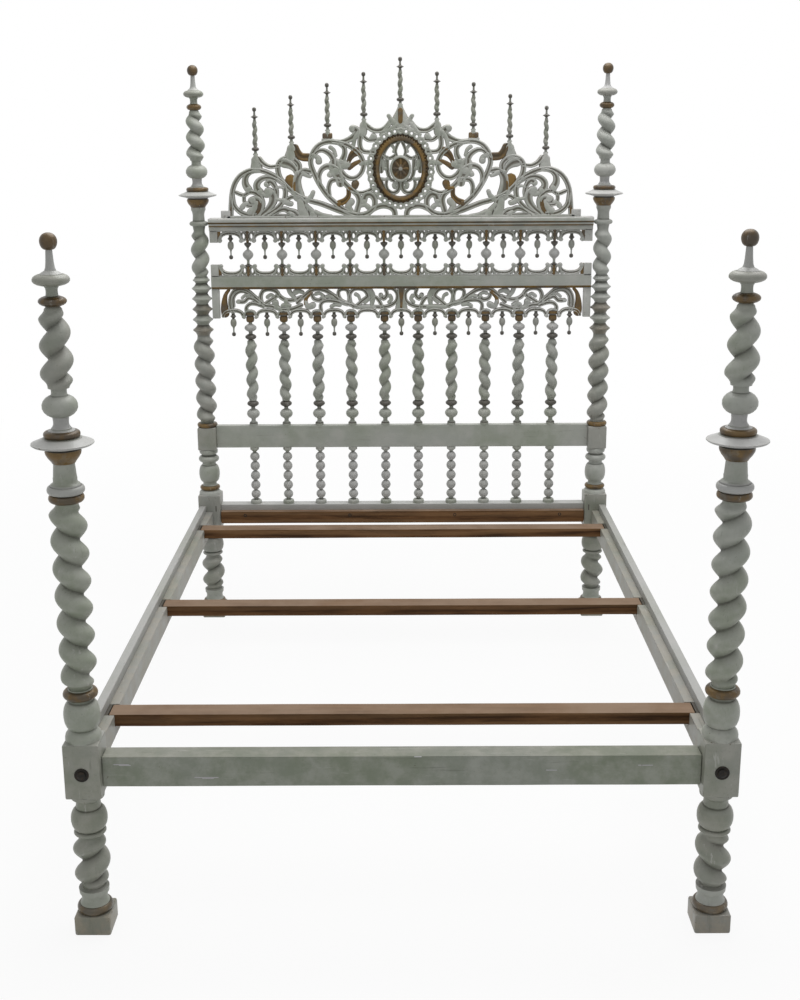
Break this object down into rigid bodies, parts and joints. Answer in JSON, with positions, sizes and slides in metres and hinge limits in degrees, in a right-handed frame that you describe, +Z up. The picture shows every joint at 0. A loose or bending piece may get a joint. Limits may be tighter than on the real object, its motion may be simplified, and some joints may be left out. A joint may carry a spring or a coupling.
{
  "type": "spindle bed",
  "caption": "Tall-post bed frame with barley-twist posts, a pierced and spindled headboard, rabbeted side rails and lift-out cross slats.",
  "frame": {"origin": "on the floor under the middle of the bed", "axes": "+X across the bed to the right seen from its foot, +Y from foot to head, +Z up"},
  "size_m": [1.533, 2.123, 1.989],
  "materials": {
    "painted_wood": "worn grey-green paint",
    "gilded_wood": "rubbed old gilding",
    "pale_wood": "pale worn paint",
    "bare_wood": "bare planed wood",
    "dark_iron": "dull"
  },
  "bodies": {
    "frame": {"arcade_balusters": "gilded_wood", "arcade_rail": "painted_wood", "bed_bolts": "dark_iron", "bolt_nuts": "dark_iron", "cleat_screws": "dark_iron", "cornice": "painted_wood", "crest_board": "painted_wood", "crest_finials": "gilded_wood", "foot_collar_left": "painted_wood", "foot_collar_right": "painted_wood", "foot_finial_left": "pale_wood", "foot_finial_right": "pale_wood", "foot_post_left": "painted_wood", "foot_post_right": "painted_wood", "foot_rail": "painted_wood", "foot_upper_left": "painted_wood", "foot_upper_right": "painted_wood", "head_cleat": "bare_wood", "head_collar_left": "painted_wood", "head_collar_right": "painted_wood", "head_finial_left": "pale_wood", "head_finial_right": "pale_wood", "head_post_left": "painted_wood", "head_post_right": "painted_wood", "head_rail": "painted_wood", "head_upper_left": "painted_wood", "head_upper_right": "painted_wood", "lower_arcade": "painted_wood", "lower_spindles": "painted_wood", "medallion_boss": "painted_wood", "medallion_panel": "painted_wood", "medallion_ring": "gilded_wood", "side_rail_left": "painted_wood", "side_rail_right": "painted_wood", "spindle_01": "painted_wood", "spindle_02": "painted_wood", "spindle_03": "painted_wood", "spindle_04": "painted_wood", "spindle_05": "painted_wood", "spindle_06": "painted_wood", "spindle_07": "painted_wood", "spindle_08": "painted_wood", "spindle_09": "painted_wood", "spindle_10": "painted_wood", "top_rail": "painted_wood", "upper_arcade": "painted_wood", "upper_drops": "gilded_wood", "valance": "painted_wood", "valance_drops": "gilded_wood", "wide_rail": "painted_wood"},
    "slat_foot": {"slat_foot": "bare_wood"},
    "slat_mid": {"slat_mid": "bare_wood"},
    "slat_head": {"slat_head": "bare_wood"}
  },
  "joints": [
    {"name": "slat_foot_lift", "type": "slide", "parent": "frame", "child": "slat_foot", "axis": [0, 0, 1], "range_m": [0, 0.25]},
    {"name": "slat_mid_lift", "type": "slide", "parent": "frame", "child": "slat_mid", "axis": [0, 0, 1], "range_m": [0, 0.25]},
    {"name": "slat_head_lift", "type": "slide", "parent": "frame", "child": "slat_head", "axis": [0, 0, 1], "range_m": [0, 0.25]}
  ]
}
